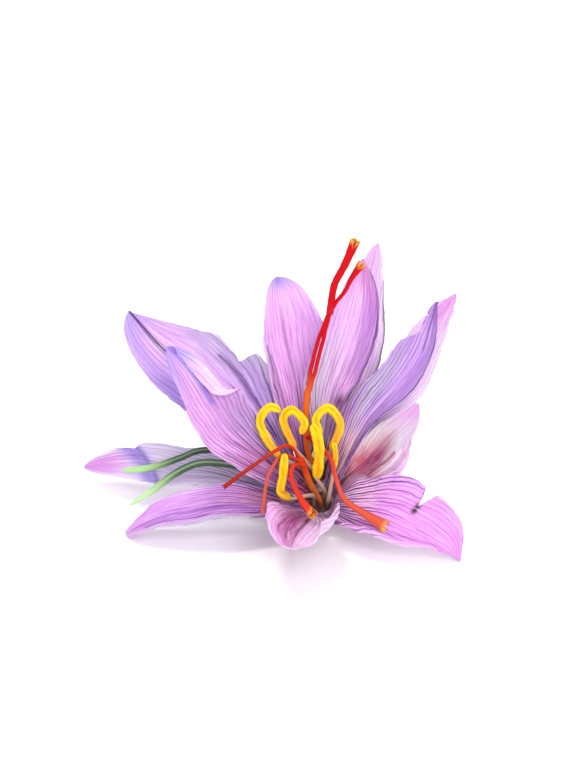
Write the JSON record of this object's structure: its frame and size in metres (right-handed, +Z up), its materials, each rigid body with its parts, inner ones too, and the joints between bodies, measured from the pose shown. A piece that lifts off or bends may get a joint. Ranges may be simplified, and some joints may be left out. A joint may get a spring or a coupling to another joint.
{
  "type": "saffron crocus bloom",
  "caption": "Picked saffron crocus: nested open blooms of lilac tepals with yellow anthers, branched red stigmas, slender leaves and a papery sheath round the cut tubes.",
  "frame": {"origin": "middle of the footprint, on the surface that the picked bloom lies on", "axes": "+Z up, -Y towards the viewer that the blooms open to, +Y along the cut tubes behind them"},
  "size_m": [0.0732, 0.0742, 0.058],
  "materials": {
    "tepal": "soft translucent lilac with darker veins",
    "tube": "pale translucent grey violet",
    "sheath": "papery cream with fine lengthwise fibres",
    "leaf": "satin dark green with a pale midrib and pale tip",
    "filament": "pale waxy",
    "anther": "matt yellow pollen",
    "stigma": "waxy orange to deep red"
  },
  "bodies": {
    "root": {"rear_tepal_left": "tepal", "rear_tepal_back": "tepal", "rear_tepal_tall": "tepal", "rear_tepal_tall_outer": "tepal", "rear_tepal_right": "tepal", "rear_tepal_low_right": "tepal", "front_tepal_left": "tepal", "front_tepal_right": "tepal", "front_tepal_low_right": "tepal", "front_tepal_low_left_outer": "tepal", "front_tepal_low_left": "tepal", "front_tepal_tongue": "tepal", "rear_tube": "tube", "front_tube": "tube", "papery_sheath": "sheath", "upper_leaf": "leaf", "lower_leaf": "leaf", "rear_left_filament": "filament", "rear_middle_filament": "filament", "rear_right_filament": "filament", "front_right_filament": "filament", "front_left_filament": "filament", "front_hidden_filament": "filament", "rear_left_anther": "anther", "rear_middle_anther": "anther", "rear_right_anther": "anther", "front_right_anther": "anther", "front_left_anther": "anther", "front_hidden_anther": "anther", "rear_style_and_stigmas": "stigma", "front_style_and_stigmas": "stigma"}
  },
  "joints": []
}
